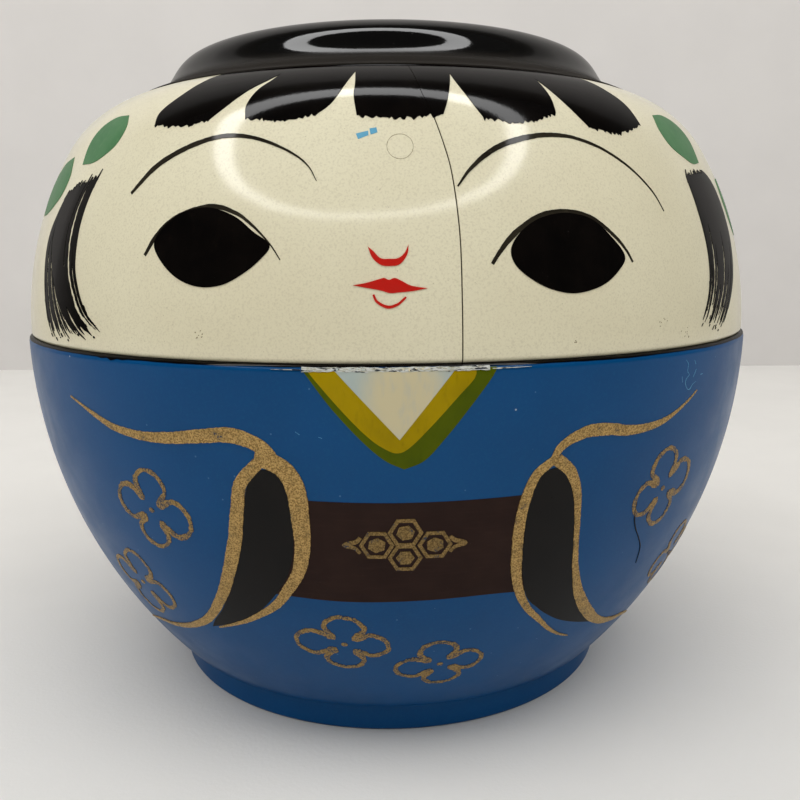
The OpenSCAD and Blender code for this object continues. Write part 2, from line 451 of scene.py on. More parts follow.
class Paint:
    """A material under construction, with its object coordinates in metres and one gloss shader."""

    def __init__(self, name, roughness, coat, coat_roughness=0.08, specular=0.03):
        self.material = bpy.data.materials.new(name)
        self.material.use_nodes = True
        self.tree = self.material.node_tree
        self.tree.nodes.clear()
        self.out = self.add("ShaderNodeOutputMaterial")
        self.shader = self.add("ShaderNodeBsdfPrincipled")
        self.shader.inputs["Roughness"].default_value = roughness
        self.shader.inputs["Coat Weight"].default_value = coat
        self.shader.inputs["Coat Roughness"].default_value = coat_roughness
        self.shader.inputs["Specular IOR Level"].default_value = specular
        self.wire(self.shader.outputs[0], self.out.inputs["Surface"])
        self.place = self.add("ShaderNodeTexCoord").outputs["Object"]

    def add(self, kind, **settings):
        node = self.tree.nodes.new(kind)
        for key, value in settings.items():
            setattr(node, key, value)
        return node

    def wire(self, source, target):
        self.tree.links.new(source, target)

    def mapped(self, scale, location):
        """The object coordinates, scaled and then moved."""
        mapping = self.add("ShaderNodeMapping")
        mapping.inputs["Scale"].default_value = scale
        mapping.inputs["Location"].default_value = location
        self.wire(self.place, mapping.inputs["Vector"])
        return mapping.outputs[0]

    def noise(self, size_mm, detail=3.0, stretch=(1, 1, 1), offset=0.0):
        """Cloudy noise whose patches are about size_mm across."""
        node = self.add("ShaderNodeTexNoise")
        node.inputs["Scale"].default_value = 1.0
        node.inputs["Detail"].default_value = detail
        node.inputs["Roughness"].default_value = NOISE_ROUGHNESS
        scale = 1 / (size_mm * MM)
        place = self.mapped(tuple(scale * s for s in stretch), (offset, offset * 1.7, offset * 0.6))
        self.wire(place, node.inputs["Vector"])
        return node.outputs["Fac"]

    def ramp(self, value, low, high, to_low=0.0, to_high=1.0):
        """value from low to high becomes to_low to to_high, smoothly."""
        node = self.add("ShaderNodeMapRange", interpolation_type="SMOOTHSTEP")
        for key, number in (("From Min", low), ("From Max", high), ("To Min", to_low), ("To Max", to_high)):
            node.inputs[key].default_value = number
        self.wire(value, node.inputs["Value"])
        return node.outputs[0]

    def product(self, a, b):
        node = self.add("ShaderNodeMath", operation="MULTIPLY")
        self.wire(a, node.inputs[0])
        self.wire(b, node.inputs[1])
        return node.outputs[0]

    def mix(self, share, a, b):
        """Colour a where share is 0 and b where it is 1. Either may be a colour or a socket."""
        node = self.add("ShaderNodeMix", data_type="RGBA")
        for key, colour in ((6, a), (7, b)):
            if isinstance(colour, tuple):
                node.inputs[key].default_value = (*colour, 1)
            else:
                self.wire(colour, node.inputs[key])
        self.wire(share, node.inputs[0])
        return node.outputs[2]

    def specks(self, spacing_mm, size, share, offset=0.0):
        """Small round dots on a share of the cells of a grid-free pattern, 1 inside a dot."""
        place = self.mapped((1 / (spacing_mm * MM),) * 3, (offset, offset * 2.1, offset * 0.7))
        cells = self.add("ShaderNodeTexVoronoi")
        cells.inputs["Scale"].default_value = 1.0
        self.wire(place, cells.inputs["Vector"])
        dots = self.ramp(cells.outputs["Distance"], size * 0.6, size, 1.0, 0.0)
        parts = self.add("ShaderNodeSeparateColor")
        self.wire(cells.outputs["Color"], parts.inputs[0])
        chosen = self.ramp(parts.outputs[0], 1 - share, 1 - share + 0.002)
        return self.product(dots, chosen)

    def cloudy(self, size_mm, a, b, detail=4.0):
        """Two colours in soft patches."""
        return self.mix(self.ramp(self.noise(size_mm, detail), 0.3, 0.7), a, b)

    def dotted(self, ground, colour, strength, *specks):
        """A colour or socket with specks of another colour, which are laid out as in specks()."""
        return self.mix(self.ramp(self.specks(*specks), 0, 1, 0, strength), ground, colour)

    def colour(self, socket):
        self.wire(socket, self.shader.inputs["Base Color"])

    def gloss(self, value, low, high):
        """Roughness that follows a value, from low to high."""
        self.wire(self.ramp(value, 0.3, 0.7, low, high), self.shader.inputs["Roughness"])

    def bump(self, *layers):
        """Relief from (height value, depth in millimetres) layers, on the paint and on its clear coat."""
        normal = None
        for height, depth in layers:
            node = self.add("ShaderNodeBump")
            node.inputs["Strength"].default_value = 1.0
            node.inputs["Distance"].default_value = depth * MM
            self.wire(height, node.inputs["Height"])
            if normal is not None:
                self.wire(normal, node.inputs["Normal"])
            normal = node.outputs[0]
        self.wire(normal, self.shader.inputs["Normal"])
        self.wire(normal, self.shader.inputs["Coat Normal"])


def blue_lacquer():
    paint = Paint("blue_lacquer", 0.4, 0.26, 0.09)
    fine = paint.noise(0.5, 3)
    colour = paint.cloudy(38, (0.0002, 0.051, 0.164), (0.0006, 0.061, 0.193))
    colour = paint.mix(paint.ramp(fine, 0.45, 0.75, 0, 0.25), colour, (0.003, 0.088, 0.21))
    colour = paint.dotted(colour, (0.10, 0.22, 0.34), 0.5, 2.2, 0.09, 0.16)
    paint.colour(paint.dotted(colour, (0.5, 0.55, 0.55), 0.8, 5.5, 0.035, 0.3, 3))
    paint.gloss(paint.noise(9, 4, offset=5), 0.33, 0.46)
    paint.bump((paint.noise(2.4, 2, offset=2), 0.006), (fine, 0.0015))
    return paint.material


def cream_lacquer():
    paint = Paint("cream_lacquer", 0.4, 0.75, 0.11)
    fine = paint.noise(0.35, 3)
    colour = paint.cloudy(30, (0.70, 0.645, 0.46), (0.74, 0.69, 0.50))
    colour = paint.mix(paint.ramp(fine, 0.45, 0.7, 0, 0.4), colour, (0.52, 0.46, 0.32))
    crowded = paint.product(paint.ramp(paint.specks(0.8, 0.16, 0.3, 2), 0, 1),
                            paint.ramp(paint.noise(9, 3, offset=8), 0.5, 0.7))
    colour = paint.mix(paint.ramp(crowded, 0, 1, 0, 0.5), colour, (0.34, 0.28, 0.17))
    colour = paint.dotted(colour, (0.30, 0.24, 0.14), 0.4, 1.3, 0.10, 0.12)
    paint.colour(paint.dotted(colour, (0.12, 0.08, 0.04), 0.8, 8, 0.03, 0.35, 4))
    paint.gloss(paint.noise(8, 4, offset=5), 0.34, 0.48)
    paint.bump((paint.noise(2.6, 2, offset=2), 0.006), (fine, 0.0015))
    return paint.material


BLACK_TONES = ((0.0012, 0.001, 0.0009), (0.003, 0.0026, 0.0022))
DUST = (0.13, 0.12, 0.11)


def black_lacquer():
    paint = Paint("black_lacquer", 0.3, 0.55, 0.05, specular=0.0)
    fine = paint.noise(0.5, 3)
    colour = paint.cloudy(25, *BLACK_TONES)
    paint.colour(paint.dotted(colour, DUST, 0.25, 1.3, 0.10, 0.2))
    paint.gloss(paint.noise(7, 4, offset=5), 0.25, 0.36)
    paint.bump((paint.noise(3, 2, offset=2), 0.006), (fine, 0.001))
    return paint.material


def crown_black():
    """The crown's black lacquer: duller toward the corner at its foot, with a grey painted there as the
    lid's reflection.
    """
    paint = Paint("crown_black", 0.3, 0.55, 0.05, specular=0.0)
    fine = paint.noise(0.4, 3)
    colour = paint.cloudy(25, *BLACK_TONES)
    colour = paint.dotted(colour, DUST, 0.3, 1.1, 0.12, 0.25)
    parts = paint.add("ShaderNodeSeparateXYZ")
    paint.wire(paint.place, parts.inputs[0])
    high = (LID_TOP_Z + 2.0) * MM
    low = paint.ramp(parts.outputs["Z"], high, high + 3.2 * MM, 1.0, 0.0)
    # painted reflection: the grey near the crown's foot stands in for the lid reflected in that concave
    # corner
    grey = paint.product(low, paint.ramp(fine, 0.25, 0.6, 0.75, 1.0))
    paint.colour(paint.mix(grey, colour, (0.022, 0.019, 0.016)))
    paint.wire(paint.ramp(low, 0, 1, 0.55, 0.12), paint.shader.inputs["Coat Weight"])
    paint.wire(paint.ramp(low, 0, 1, 0.05, 0.3), paint.shader.inputs["Coat Roughness"])
    paint.bump((paint.noise(3, 2, offset=2), 0.006), (fine, 0.002))
    return paint.material


def brush_paint(name, colour, thin, roughness, coat, stretch=(1, 1, 1), bristle=0.5, depth=0.006, dust=0.25):
    """Paint laid on with a brush: bristle marks along one direction, and another colour where it is thin."""
    paint = Paint(name, roughness, coat, 0.08, specular=0.0)
    marks = paint.noise(bristle, 3, stretch)
    patches = paint.noise(6, 3, offset=3)
    mixed = paint.mix(paint.ramp(patches, 0.3, 0.75, 0, 0.5), colour, thin)
    mixed = paint.mix(paint.ramp(marks, 0.5, 0.8, 0, 0.5), mixed, thin)
    pale = tuple(min(1, c * 1.5 + 0.04) for c in thin)
    paint.colour(paint.dotted(mixed, pale, dust, 0.9, 0.12, 0.12))
    paint.gloss(paint.noise(4, 3, offset=7), roughness - 0.07, roughness + 0.1)
    paint.bump((marks, depth))
    return paint.material


def black_paint():
    return brush_paint(
        "black_paint", (0.0012, 0.0008, 0.0006), (0.005, 0.0034, 0.0026), 0.35, 0.32, (1, 1, 0.12), 0.7)


def thin_black():
    """Black laid on so thinly that the cream beneath warms it."""
    return brush_paint(
        "thin_black", (0.012, 0.0095, 0.006), (0.04, 0.034, 0.022), 0.4, 0.35, (0.3, 1, 1), 0.5)


def maroon_paint():
    return brush_paint(
        "maroon_paint", (0.020, 0.0095, 0.0075), (0.032, 0.016, 0.012), 0.45, 0.15, (0.1, 0.1, 1), 0.6)


def red_paint():
    return brush_paint("red_paint", (0.50, 0.012, 0.008), (0.42, 0.02, 0.012), 0.38, 0.35, bristle=1.0)


def green_paint():
    return brush_paint(
        "green_paint", (0.056, 0.168, 0.066), (0.095, 0.215, 0.095), 0.45, 0.3, (1, 1, 0.4), 0.8)


def yellow_paint():
    return brush_paint(
        "yellow_paint", (0.36, 0.245, 0.0004), (0.21, 0.15, 0.0005), 0.45, 0.12, (1, 1, 0.3), 0.8, dust=0.1)


def olive_paint():
    return brush_paint(
        "olive_paint", (0.075, 0.098, 0.0005), (0.045, 0.07, 0.001), 0.45, 0.12, (1, 1, 0.3), 0.8, dust=0.1)


def pale_paint():
    """The pale triangle at the neck: warm in the middle, with a bluish grey toward its edges."""
    paint = Paint("pale_paint", 0.45, 0.35)
    middle = tuple(-place * size * MM for place, size in zip(PALE_MIDDLE, PALE_SHAPE))
    away = paint.add("ShaderNodeVectorMath", operation="LENGTH")
    paint.wire(paint.mapped(PALE_SHAPE, middle), away.inputs[0])
    grey = paint.ramp(away.outputs["Value"], 0.0035, 0.0085)
    mixed = paint.mix(grey, (0.57, 0.50, 0.31), (0.39, 0.45, 0.42))
    marks = paint.ramp(paint.noise(1.2, 3, (1, 1, 0.3)), 0.45, 0.75, 0, 0.3)
    paint.colour(paint.mix(marks, mixed, (0.34, 0.40, 0.42)))
    paint.gloss(paint.noise(4, 3, offset=7), 0.38, 0.55)
    paint.bump((marks, 0.006))
    return paint.material


def sky_paint():
    return brush_paint("sky_paint", (0.10, 0.33, 0.50), (0.16, 0.40, 0.54), 0.45, 0.2, bristle=0.5)


def bronze(name, light, wear):
    """Bronze powder in varnish, of bright and dull grains. The more wear, the more blue shows through."""
    paint = Paint(name, 0.5, 0.2, 0.2)
    grains = paint.noise(0.28, 3)
    patches = paint.noise(1.6, 3, offset=3)
    dull, bright = ((c * light for c in colour) for colour in ((0.20, 0.12, 0.036), (0.54, 0.35, 0.125)))
    colour = paint.mix(paint.ramp(grains, 0.36, 0.64), tuple(dull), tuple(bright))
    colour = paint.mix(
        paint.ramp(patches, 0.45, 0.75, 0, 0.5), colour, (0.12 * light, 0.085 * light, 0.035 * light))
    bare = paint.product(paint.ramp(patches, 1.15 - wear, 1.3 - wear), paint.ramp(grains, 0.56, 0.42))
    paint.colour(paint.mix(paint.ramp(bare, 0.2, 0.9, 0, 0.8), colour, (0.006, 0.03, 0.08)))
    paint.shader.inputs["Metallic"].default_value = 0.2
    paint.gloss(grains, 0.42, 0.6)
    paint.bump((grains, 0.006))
    return paint.material


def gold_paint():
    return bronze("gold_paint", 1.0, 0.55)


def dim_gold():
    return bronze("dim_gold", 0.55, 0.6)


def thin_gold():
    return bronze("thin_gold", 0.7, 0.75)


def rim_highlight_material():
    """A painted highlight for the bowl's rounded rim: a pale strip, with dark nicks."""
    paint = Paint("rim_highlight_material", 0.35, 0.6, 0.1)
    colour = paint.mix(
        paint.ramp(paint.noise(0.8, 3, (1, 1, 4)), 0.4, 0.6), (0.36, 0.35, 0.27), (0.55, 0.56, 0.53))
    nicks = paint.ramp(paint.noise(0.9, 3, (0.6, 0.6, 3), offset=4), 0.52, 0.60)
    paint.colour(paint.mix(nicks, colour, (0.02, 0.025, 0.03)))
    paint.bump((nicks, -0.02))
    return paint.material


def dark_mark():
    paint = Paint("dark_mark", 0.5, 0.2)
    paint.colour(paint.mix(paint.noise(0.4), (0.24, 0.20, 0.12), (0.34, 0.29, 0.18)))
    return paint.material


def crack_wood_and_shade():
    # the dark in the crack: bare wood, darkened as painted shade for the crack's depth
    paint = Paint("crack_wood_and_shade", 0.8, 0.0)
    paint.colour(paint.mix(paint.noise(1.0, 3), (0.02, 0.014, 0.008), (0.06, 0.042, 0.025)))
    return paint.material


MATERIALS = {make.__name__: make() for make in (
                 blue_lacquer, cream_lacquer, black_lacquer, crown_black, black_paint, thin_black,
                 maroon_paint, red_paint, green_paint, yellow_paint, olive_paint, pale_paint, sky_paint,
                 gold_paint, dim_gold, thin_gold, rim_highlight_material, dark_mark, crack_wood_and_shade)}


# ---------------------------------------------------------------- turned pieces

def bowl_shell():
    """The bowl, with the collar's seat cut into its rim."""
    seat_low = (COLLAR_R, COLLAR_LOW)
    inner = BOWL_ARC - WALL
    under_seat = BOWL_CENTRE[0] + math.sqrt(inner ** 2 - (COLLAR_LOW - SEAM_Z) ** 2)
    floor = BOWL_FOOT_Z + BOWL_FLOOR
    corner, corner_turn = round_to_level(BOWL_CENTRE, inner, BOWL_CORNER, floor, -1)
    start = math.atan2(COLLAR_LOW - SEAM_Z, under_seat - BOWL_CENTRE[0])
    section = joined(
        line((0, BOWL_FOOT_Z), (BOWL_SKIN.side[-1, 0], BOWL_FOOT_Z), FLAT_STEP),
        BOWL_SKIN.side[::-1],
        (COLLAR_R, SEAM_Z), seat_low, arc(BOWL_CENTRE, inner, start, corner_turn, HOLLOW_STEP),
        arc(corner, BOWL_CORNER, corner_turn, -math.pi / 2, HOLLOW_STEP),
        line((corner[0], floor), (0, floor), FLAT_STEP))
    mesh = turned("bowl_shell", section)
    new_piece(mesh, "bowl", ["blue_lacquer"], stands_for=["bowl"])


def bowl_lining():
    """The black lacquer inside the bowl, with a lip over the ledge that the collar leaves."""
    inner = BOWL_ARC - WALL
    floor = BOWL_FOOT_Z + BOWL_FLOOR

    def coat(depth, level):
        corner, corner_turn = round_to_level(
            BOWL_CENTRE, inner + depth, BOWL_CORNER + depth, floor - depth, -1)
        low = COLLAR_LOW - level
        start = math.asin((low - SEAM_Z) / (inner + depth))
        return joined(arc(BOWL_CENTRE, inner + depth, start, corner_turn, HOLLOW_STEP),
                      arc(corner, BOWL_CORNER + depth, corner_turn, -math.pi / 2, HOLLOW_STEP),
                      line((corner[0], floor - depth), (0, floor - depth), FLAT_STEP))

    outer, face = coat(LINING, 0.02), coat(-LINING, 0.02)
    lip_r = COLLAR_R - COLLAR_THICK - 0.03
    lip_top = COLLAR_LOW + 0.12
    section = joined(outer[::-1], (lip_r, outer[0][1]), (lip_r, lip_top), (face[0][0], lip_top), face)
    new_piece(turned("bowl_lining", section), "bowl", ["black_lacquer"])


def foot_ring():
    inside_r = FOOT_R - FOOT_WIDTH
    top = BOWL_FOOT_Z + 0.2
    small, large = 0.5, 0.9
    section = joined(
        arc((FOOT_R - large, large), large, -math.pi / 2, 0, SMALL_ROUND_STEP),
        line((FOOT_R, large), (FOOT_R, top)),
        line((FOOT_R, top), (inside_r, top)), line((inside_r, top), (inside_r, small)),
        arc((inside_r + small, small), small, math.pi, 1.5 * math.pi, SMALL_ROUND_STEP))
    mesh = turned("foot_ring_shell", section)
    new_piece(mesh, "bowl", ["blue_lacquer"], stands_for=["foot_ring"])


def collar_ring():
    inner = COLLAR_R - COLLAR_THICK
    small = 0.6
    top = COLLAR_HIGH - small
    section = joined(
        (inner, COLLAR_LOW), (COLLAR_R, COLLAR_LOW), line((COLLAR_R, COLLAR_LOW), (COLLAR_R, top)),
        arc((COLLAR_R - small, top), small, 0, math.pi / 2, SMALL_ROUND_STEP),
        arc((inner + small, top), small, math.pi / 2, math.pi, SMALL_ROUND_STEP),
        line((inner, top), (inner, COLLAR_LOW)))
    mesh = turned("collar_shell", section[:-1])
    new_piece(mesh, "bowl", ["black_lacquer"], stands_for=["collar_ring"])


CRACK = [(4.0, CROWN_SEAM), (5.4, 45.5), (6.7, 40), (7.8, 34), (8.4, 29), (8.8, 20), (8.8, 10), (8.8, 0.0)]
CRACK_HALF = 0.10      # half its width
CRACK_DEPTH = 0.35


def crack_turn(s):
    """The crack's angle in radians at s on the lid."""
    curve = smooth(LID_SKIN, CRACK)
    return np.radians(np.interp(s, curve[::-1, 1], curve[::-1, 0]))


def lid_columns():
    """Column angles counted from the crack, with close ones at it."""
    coarse = np.linspace(0, 2 * math.pi, COLUMNS, endpoint=False)[3:-2]
    fine = np.array([-2.2, -1.2, -0.7, -0.4, -0.2, -0.1, -0.06, 0, 0.06, 0.1, 0.2, 0.4, 0.7, 1.2, 2.2])
    return np.concatenate([np.radians(fine[:-1]), coarse[coarse > math.radians(2.2) - 1e-9]])


def from_crack(angle):
    """A column's angle as one between minus half a turn and half a turn."""
    return (angle + math.pi) % (2 * math.pi) - math.pi


def lid_shell():
    """The lid, with a crack that runs down its face as a real groove."""
    inner = CHEEK_ARC - WALL
    roof = LID_TOP_Z - LID_ROOF
    seat = COLLAR_R + COLLAR_GAP
    seat_top = COLLAR_HIGH + 1
    corner, corner_turn = round_to_level(CHEEK_CENTRE, inner, LID_CORNER, roof, 1)
    start = math.asin((seat_top - SEAM_Z) / inner)
    hollow = joined(
        line((0, roof), (corner[0], roof), FLAT_STEP),
        arc(corner, LID_CORNER, math.pi / 2, corner_turn, HOLLOW_STEP),
        arc(CHEEK_CENTRE, inner, corner_turn, start, HOLLOW_STEP), (seat, seat_top), (seat, SEAM_Z))
    outside = joined(LID_SKIN.side, line(LID_SKIN.side[-1], (0, LID_TOP_Z), FLAT_STEP))
    section = joined(hollow, outside)
    first = len(section) - len(outside)
    last = first + len(LID_SKIN.side)
    fades = 0.25 * math.pi

    def shift(row, angles):
        painted = first <= row < last
        s = LID_SKIN.s[row - first] if painted else (0 if row < first else CROWN_SEAM)
        near = from_crack(angles)
        follow = np.clip(1 - np.abs(near) / fades, 0, 1)
        follow = follow * follow * (3 - 2 * follow)
        turn = angles + crack_turn(s) * follow
        across = np.abs(near) * section[row][0]
        depth = CRACK_DEPTH * np.clip(1 - across / CRACK_HALF, 0, 1) ** 0.6 * painted
        return turn, depth

    angles = lid_columns()
    mesh = turned("lid_shell", section, angles, shift)
    near = [j for j, a in enumerate(angles) if abs(from_crack(a)) < math.radians(0.08)]
    new_piece(mesh, "lid", ["cream_lacquer", "crack_wood_and_shade"], stands_for=["lid"])
    # The first row is a single vertex in the middle of the hollow, and every other row has all columns.
    groove = {1 + (row - 1) * len(angles) + j for row in range(first, last - 1) for j in near}
    for face in mesh.polygons:
        if all(v in groove for v in face.vertices):
            face.material_index = 1


def lid_lining():
    """The black lacquer inside the lid."""
    inner = CHEEK_ARC - WALL
    roof = LID_TOP_Z - LID_ROOF
    seat_top = COLLAR_HIGH + 1

    def coat(depth):
        corner, corner_turn = round_to_level(
            CHEEK_CENTRE, inner + depth, LID_CORNER + depth, roof + depth, 1)
        start = math.asin((seat_top + 0.4 - SEAM_Z) / (inner + depth))
        return joined(line((0, roof + depth), (corner[0], roof + depth), FLAT_STEP),
                      arc(corner, LID_CORNER + depth, math.pi / 2, corner_turn, HOLLOW_STEP),
                      arc(CHEEK_CENTRE, inner + depth, corner_turn, start, HOLLOW_STEP))

    section = joined(coat(-LINING), coat(LINING)[::-1])
    new_piece(turned("lid_lining", section), "lid", ["black_lacquer"])


def crown():
    """The crown: a hollow foot, a round side, and a flat ring round a shallow recess."""
    def toward(lean):
        return np.array([-math.sin(lean), math.cos(lean)])

    def curve(p0, p1, p2, p3, count):
        t = np.linspace(0, 1, count)[:, None]
        return (1 - t) ** 3 * p0 + 3 * (1 - t) ** 2 * t * p1 + 3 * (1 - t) * t ** 2 * p2 + t ** 3 * p3

    start = np.array([CROWN_BASE_R, LID_TOP_Z + CROWN_EDGE])
    turn = np.array([CROWN_TURN[0], LID_TOP_Z + CROWN_TURN[1]])
    end = np.array([CROWN_FLAT_OUT, CROWN_TOP_Z])
    foot = curve(start, start + CROWN_FOOT_PULL * toward(CROWN_FOOT_LEAN),
                 turn - CROWN_FOOT_PULL * toward(CROWN_TURN_LEAN), turn, 40)
    side = curve(turn, turn + CROWN_SIDE_PULL * toward(CROWN_TURN_LEAN),
                 end + np.array([CROWN_TOP_PULL, 0]), end, 80)[1:]
    flat_in = CROWN_FLAT_OUT - CROWN_FLAT
    small = 0.5
    floor = CROWN_TOP_Z - CROWN_RECESS
    sunk = LID_TOP_Z - 0.3
    section = joined(
        line((0, sunk), (CROWN_BASE_R - 1, sunk), FLAT_STEP), (CROWN_BASE_R, LID_TOP_Z - EMBED), foot, side,
        arc((flat_in + small, CROWN_TOP_Z - small), small, math.pi / 2, math.pi, SMALL_ROUND_STEP),
        arc((flat_in - CROWN_RECESS_ROUND, floor + CROWN_RECESS_ROUND), CROWN_RECESS_ROUND, 0, -math.pi / 2,
            0.2),
        line((flat_in - CROWN_RECESS_ROUND, floor), (0, floor), 5))
    mesh = turned("crown_shell", section, sharp=40)
    new_piece(mesh, "lid", ["crown_black"], "black_lacquer", stands_for=["crown"])


# ---------------------------------------------------------------- the painted head

def on_lid(name, region, level, paint, slot=None, grid=1.6):
    mesh = film(name, LID_SKIN, region, level, grid)
    new_piece(mesh, "lid", [paint], slot)


def on_bowl(name, region, level, paint, slot=None, grid=1.6):
    mesh = film(name, BOWL_SKIN, region, level, grid)
    new_piece(mesh, "bowl", [paint], slot)


FRINGE_TOP = CROWN_SEAM - 0.05
# Each lock: its left edge downward, and its right edge upward.
LOCKS = [
    ([(-28.5, FRINGE_TOP), (-31, 48.5), (-33.3, 43.5), (-33, 40.3)],
     [(-23.5, 40.2), (-21.5, 43), (-19, 47), (-16.2, 51), (-13.9, FRINGE_TOP)]),
    ([(-14.8, FRINGE_TOP), (-16.0, 50.5), (-17.6, 46.8), (-18.3, 43), (-17.8, 40)],
     [(-8.3, 40.2), (-6.5, 42.5), (-5.3, 46), (-3.8, 52.3), (-3.4, FRINGE_TOP)]),
    ([(-4.2, FRINGE_TOP), (-3.6, 48), (-3.6, 44.5), (-3, 40)],
     [(8, 40.2), (9, 44), (10.2, 50.7), (10.6, FRINGE_TOP)]),
    ([(9.8, FRINGE_TOP), (10.6, 48.5), (12.2, 42.5), (13.3, 39.6)],
     [(24, 41.0), (24.4, 45), (24.3, 50.2), (24.2, FRINGE_TOP)]),
    ([(23.2, FRINGE_TOP), (25.0, 48), (27, 42.5), (28.8, 39)],
     [(40, 40.8), (39.7, 46), (38.3, 50.5), (36.8, FRINGE_TOP)]),
]


def fringe():
    """Five locks of black hair with bristle ends, split by the crack."""
    split = [stroke(LID_SKIN, CRACK[:5], [0.08, 0.1, 0.14], seed=3)]
    region = []
    for k, (left, right) in enumerate(LOCKS):
        bottom = smooth(
            LID_SKIN,
            [left[-1], ((left[-1][0] + right[0][0]) / 2, min(left[-1][1], right[0][1]) - 0.6), right[0]],
            0.33)
        bottom = ragged(bottom, 0.55, 40 + k)
        lock = np.concatenate([smooth(LID_SKIN, left)[:-1], bottom, smooth(LID_SKIN, right)[1:]])
        region.append((lock, split))
    on_lid("fringe", region, 2, "black_paint")


def brows():
    left = stroke(LID_SKIN,
                  [(-33.2, 27.5), (-30, 32), (-26.5, 34.7), (-22, 36.7), (-18, 36.9), (-14, 35.5),
                   (-10.5, 33.2), (-8.5, 31), (-7.4, 28.5)],
                  [0.5, 1.0, 1.0, 0.85, 0.7, 0.5, 0.3, 0.1], 11)
    right = stroke(
        LID_SKIN,
        [(8.9, 27.5), (10.5, 30.3), (13, 33.2), (16, 35.3), (20, 36.7), (23, 37), (26, 36.6), (30, 34.8),
         (34, 31.5), (37, 27.5), (38.4, 24)],
        [0.2, 0.7, 0.95, 0.9, 0.65, 0.5, 0.4, 0.3, 0.15], 12)
    on_lid("brows", [(left, []), (right, [])], 2, "thin_black", "black_paint")


def eyes():
    """The two eyes, and their lid lines in a thinner black."""
    left = smooth(LID_SKIN,
                  [(-27.7, 18.8), (-26.5, 21.5), (-24, 23.8), (-20.5, 24.5), (-17, 23), (-14.5, 20.5),
                   (-12.4, 18.3), (-13.5, 16), (-15.5, 13.8), (-18, 12.1), (-21, 11.8), (-24, 13.2),
                   (-26.5, 16)], closed=True)
    right = smooth(
        LID_SKIN,
        [(14.6, 17.6), (16, 20.3), (18.5, 22.4), (22, 23.3), (25.5, 22.3), (28, 19.5), (29.8, 16.2),
         (28.5, 13.7), (26, 11.5), (22.5, 10.4), (19.5, 11), (17, 12.6), (15, 15)], closed=True)
    left_lid = stroke(
        LID_SKIN,
        [(-29, 16.8), (-27.5, 20), (-25, 22.9), (-20.5, 24.7), (-17, 23.6), (-14.5, 21.3), (-12.4, 18.5),
         (-11.1, 16)],
        [0.6, 0.9, 0.9, 0.8, 0.6, 0.3, 0.15], 13)
    right_lid = stroke(
        LID_SKIN,
        [(12.3, 15.2), (13.5, 17.5), (15.5, 20.3), (18.5, 22.8), (22, 23.6), (25.5, 22.6), (28.3, 19.9),
         (30, 17.5), (31, 15.2)],
        [0.5, 0.9, 0.8, 0.7, 0.7, 0.6, 0.4], 14)
    on_lid("eyes", [(left, []), (right, [])], 2, "black_paint")
    on_lid("eye_lids", [(left_lid, []), (right_lid, [])], 1, "thin_black", "black_paint")


def nose():
    crescent = outline(
        LID_SKIN, [(-1.4, 18), (-0.9, 16.3), (0, 15.2), (1, 15), (2.1, 15.3), (2.9, 16.8), (3.05, 18.3)],
        [(3.05, 18.3), (2.6, 17), (1.9, 16.2), (1, 16.1), (0, 16.2), (-0.8, 17.3), (-1.4, 18)],
        step=0.25)
    on_lid("nose", [(crescent, [])], 2, "red_paint", grid=0.7)


def lips():
    mouth = outline(
        LID_SKIN,
        [(-3, 12.1), (-1.5, 12.5), (0, 13.1), (0.4, 13.2), (0.9, 12.9), (1.5, 13.2), (2.3, 12.7), (3.3, 12),
         (5, 11.6)],
        [(5, 11.6), (3.5, 11.2), (2, 11.0), (1, 10.9), (0, 11.3), (-1.5, 11.7), (-3, 12.1)],
        step=0.25)
    on_lid("lips", [(mouth, [])], 2, "red_paint", grid=0.7)


def chin():
    arc_line = stroke(LID_SKIN, [(-0.8, 10.7), (-0.4, 9.6), (0.7, 8.8), (1.8, 9.2), (2.7, 10.3)],
                      [0.3, 0.4, 0.45, 0.4, 0.3], 15, step=0.25)
    on_lid("chin_line", [(arc_line, [])], 2, "red_paint", grid=0.7)


def leaves():
    """Four leaf-shaped dabs, each between an outer and an inner edge that meet in points."""
    edges = [([(-41.2, 44.0), (-44.9, 44.1), (-48.1, 42.3), (-49.4, 38.8), (-48.5, 34.3)],
              [(-48.5, 34.3), (-45.2, 34.3), (-42.7, 35.3), (-40.3, 37.5), (-39.7, 40.9), (-41.2, 44.0)]),
             ([(-54.4, 36.6), (-58.9, 35.6), (-62.4, 33), (-63.8, 29), (-62.3, 24.9)],
              [(-62.3, 24.9), (-59, 25.2), (-55.6, 26.6), (-52.9, 28.9), (-52.2, 32.5), (-54.4, 36.6)]),
             ([(46.0, 44.1), (50, 44.8), (53.9, 43.4), (55.9, 39.8), (55.0, 34.7)],
              [(55.0, 34.7), (52, 34.1), (49.5, 34.9), (46.1, 37.1), (44.9, 40.6), (46.0, 44.1)]),
             ([(63.5, 32), (68, 32.5), (72, 30), (73, 26), (71, 20.5)],
              [(71, 20.5), (67.5, 20.2), (64.6, 21.5), (63, 24.5), (62.6, 28), (63.5, 32)])]
    region = [(outline(LID_SKIN, outer, inner), []) for outer, inner in edges]
    on_lid("leaves", region, 2, "green_paint")


